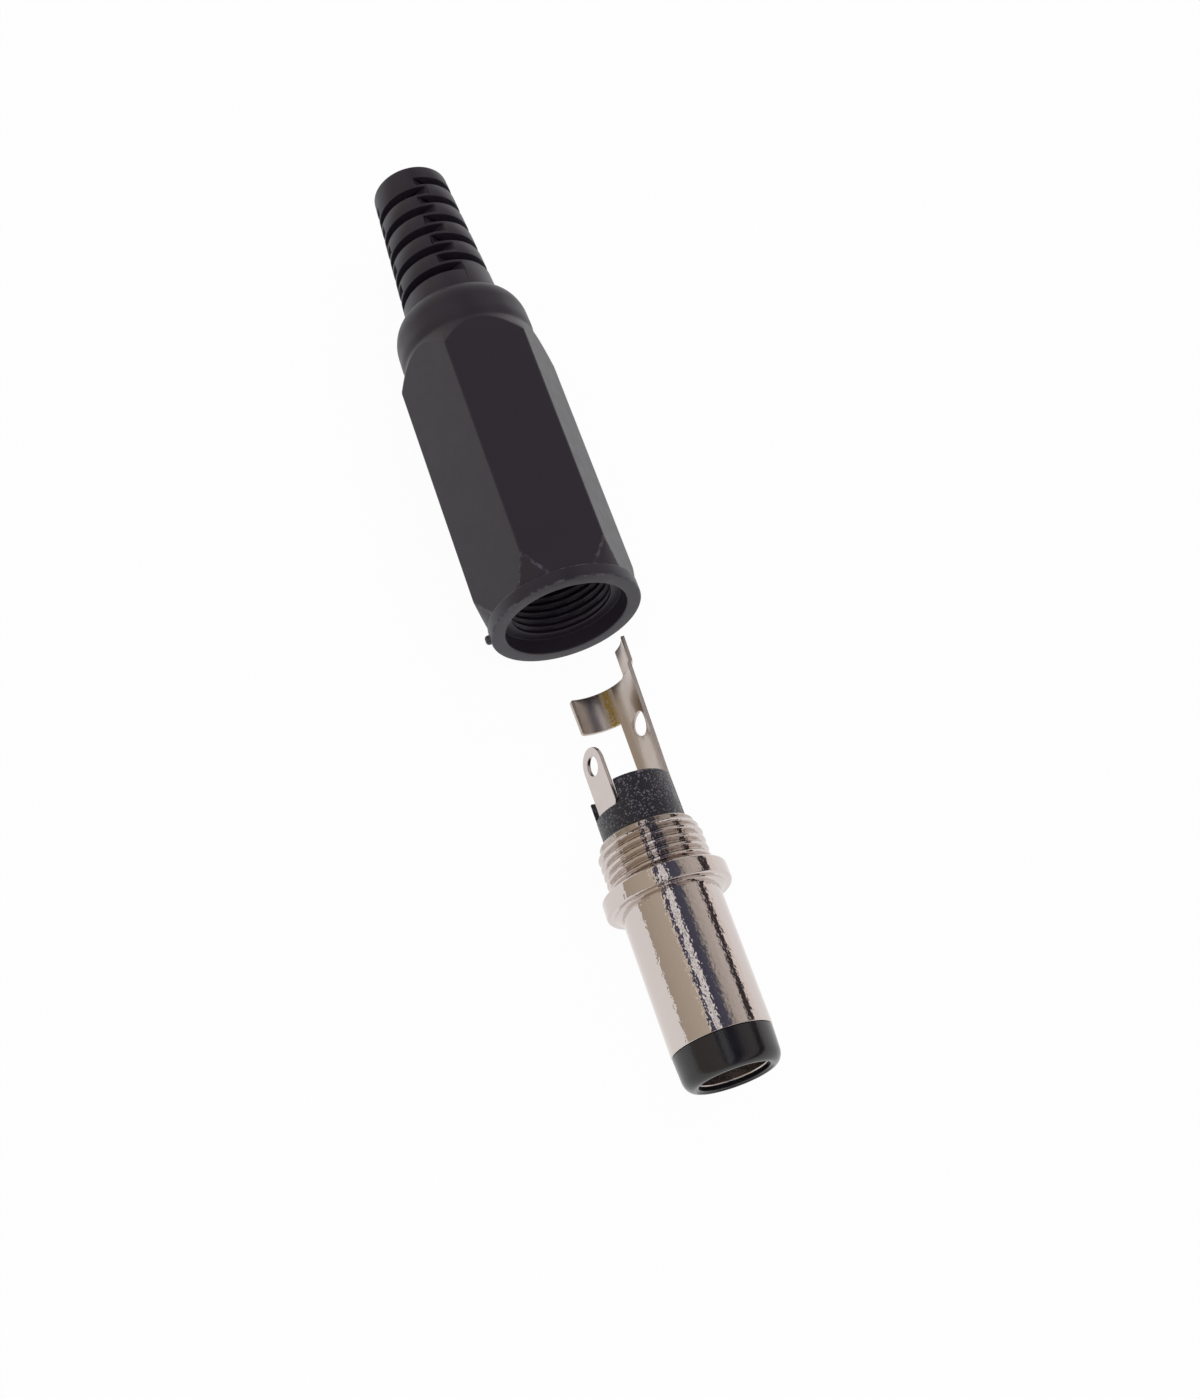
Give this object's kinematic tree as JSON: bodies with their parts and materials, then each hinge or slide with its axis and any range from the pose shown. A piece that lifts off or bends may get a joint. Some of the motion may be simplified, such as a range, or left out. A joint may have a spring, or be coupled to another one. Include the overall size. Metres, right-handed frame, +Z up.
{
  "type": "dc barrel plug",
  "caption": "Barrel power plug with a nickel-plated contact barrel, solder lug and cable clamp, and a hexagonal screw-on shell with a slotted bend-relief tail.",
  "frame": {"origin": "on the plug's axis at the root of the barrel, where it leaves the step in front of the flange", "axes": "+X along the axis towards the nose, +Z up and square to a flat of the shell's hexagon"},
  "size_m": [0.082, 0.0132, 0.012],
  "materials": {
    "moulded_shell": "fine spark-eroded black",
    "nose_plastic": "smooth black",
    "insulator_plastic": "grainy black",
    "nickel_plate": "bright nickel on turned brass",
    "tag_plate": "nickel on stamped sheet brass"
  },
  "bodies": {
    "plug": {"barrel": "nickel_plate", "nose_insulator": "nose_plastic", "contact_sleeve": "nickel_plate", "pin_bush": "nose_plastic", "centre_pin": "nickel_plate", "rear_insulator": "insulator_plastic", "solder_lug": "tag_plate", "cable_clamp": "tag_plate"},
    "shell": {"shell": "moulded_shell"}
  },
  "joints": [
    {"name": "shell_draw", "type": "slide", "parent": "plug", "child": "shell", "axis": [1, 0, 0], "range_m": [0, 0.0239]}
  ]
}
